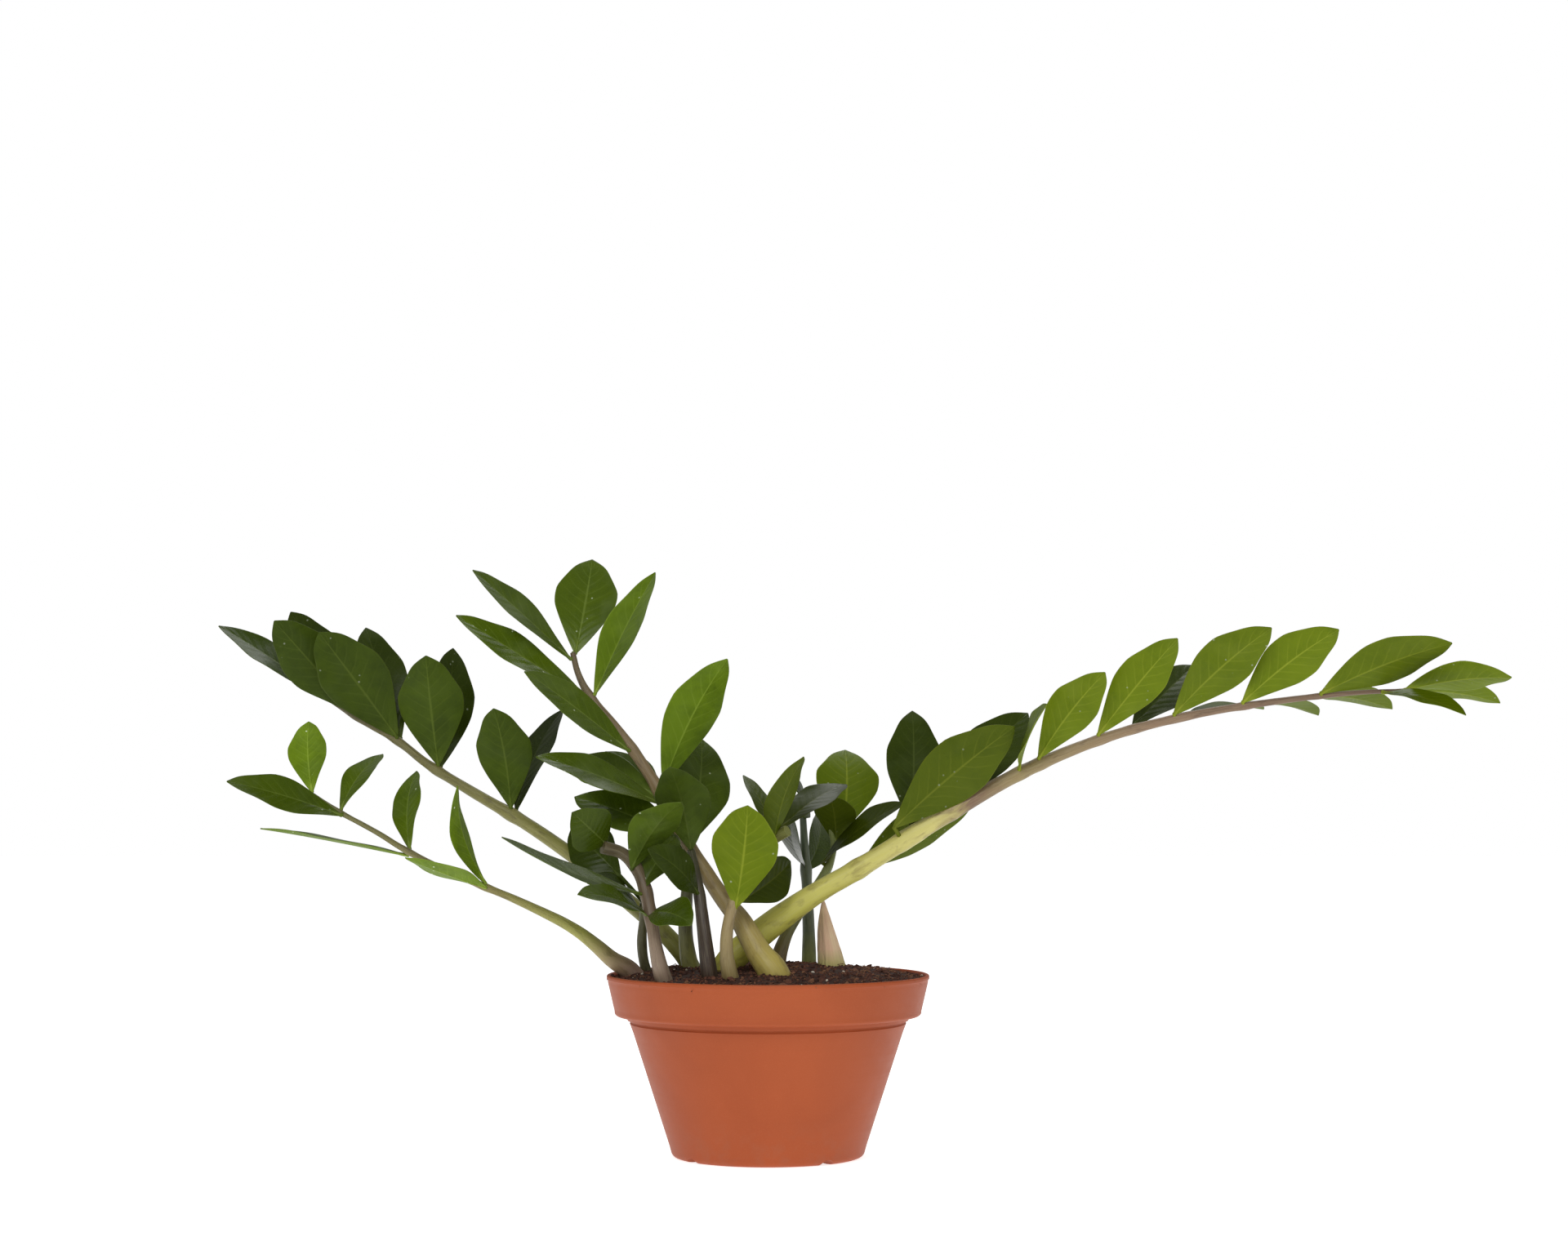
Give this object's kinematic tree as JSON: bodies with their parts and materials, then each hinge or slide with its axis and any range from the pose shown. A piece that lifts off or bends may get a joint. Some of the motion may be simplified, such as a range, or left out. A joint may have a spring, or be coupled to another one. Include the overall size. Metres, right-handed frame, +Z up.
{
  "type": "potted zz plant",
  "caption": "Spreading ZZ plant with arching stems of fleshy leaflets growing from dark soil in a round tapered terracotta-coloured plastic pot with a banded rim.",
  "frame": {"origin": "centre of the pot's flat underside, on the surface it stands on", "axes": "+X to the right of the front view, along the longest frond; +Y away from the viewer; +Z up, along the pot's axis"},
  "size_m": [0.8396, 0.21, 0.3918],
  "materials": {
    "pot_plastic": "terracotta-orange moulded plastic with a satin surface",
    "soil": "damp dark red-brown peat with fibres and a few crumbs",
    "tuber_skin": "pale brown dry skin of the tuber",
    "dry_sheath": "papery pinkish tan sheath, fibrous, yellow-green at its foot",
    "green_stem": "smooth waxy yellow-green stem, turning purple-brown toward its tip",
    "brown_stem": "smooth waxy brown stem, yellow-green at its foot",
    "lime_leaf": "waxy yellow-green leaf with a raised midrib",
    "green_leaf": "waxy mid-green leaf with a raised midrib",
    "deep_leaf": "waxy deep green leaf with a raised midrib"
  },
  "bodies": {
    "root": {"pot": "pot_plastic", "soil": "soil", "tuber": "tuber_skin", "sheath": "dry_sheath", "right_stem": "green_stem", "right_leaflet_01": "deep_leaf", "right_leaflet_02": "lime_leaf", "right_leaflet_03": "deep_leaf", "right_leaflet_04": "deep_leaf", "right_leaflet_05": "lime_leaf", "right_leaflet_06": "lime_leaf", "right_leaflet_07": "lime_leaf", "right_leaflet_08": "deep_leaf", "right_leaflet_09": "lime_leaf", "right_leaflet_10": "lime_leaf", "right_leaflet_11": "lime_leaf", "right_leaflet_12": "lime_leaf", "right_leaflet_13": "deep_leaf", "right_leaflet_14": "deep_leaf", "right_leaflet_15": "deep_leaf", "right_leaflet_16": "deep_leaf", "right_leaflet_17": "lime_leaf", "upper_left_stem": "green_stem", "upper_left_leaflet_01": "green_leaf", "upper_left_leaflet_02": "deep_leaf", "upper_left_leaflet_03": "green_leaf", "upper_left_leaflet_04": "deep_leaf", "upper_left_leaflet_05": "green_leaf", "upper_left_leaflet_06": "deep_leaf", "upper_left_leaflet_07": "green_leaf", "upper_left_leaflet_08": "deep_leaf", "upper_left_leaflet_09": "green_leaf", "lower_left_stem": "green_stem", "lower_left_leaflet_01": "green_leaf", "lower_left_leaflet_02": "green_leaf", "lower_left_leaflet_03": "green_leaf", "lower_left_leaflet_04": "deep_leaf", "lower_left_leaflet_05": "deep_leaf", "lower_left_leaflet_06": "green_leaf", "lower_left_leaflet_07": "deep_leaf", "centre_stem": "brown_stem", "centre_leaflet_01": "deep_leaf", "centre_leaflet_02": "deep_leaf", "centre_leaflet_03": "deep_leaf", "centre_leaflet_04": "green_leaf", "centre_leaflet_05": "deep_leaf", "centre_leaflet_06": "green_leaf", "centre_leaflet_07": "deep_leaf", "centre_leaflet_08": "deep_leaf", "centre_leaflet_09": "deep_leaf", "centre_leaflet_10": "deep_leaf", "front_left_frond": "deep_leaf", "thin_left_frond": "deep_leaf", "middle_left_frond": "deep_leaf", "dark_front_frond": "deep_leaf", "bright_front_frond": "lime_leaf", "grey_back_frond": "deep_leaf", "pale_back_frond": "lime_leaf"}
  },
  "joints": []
}
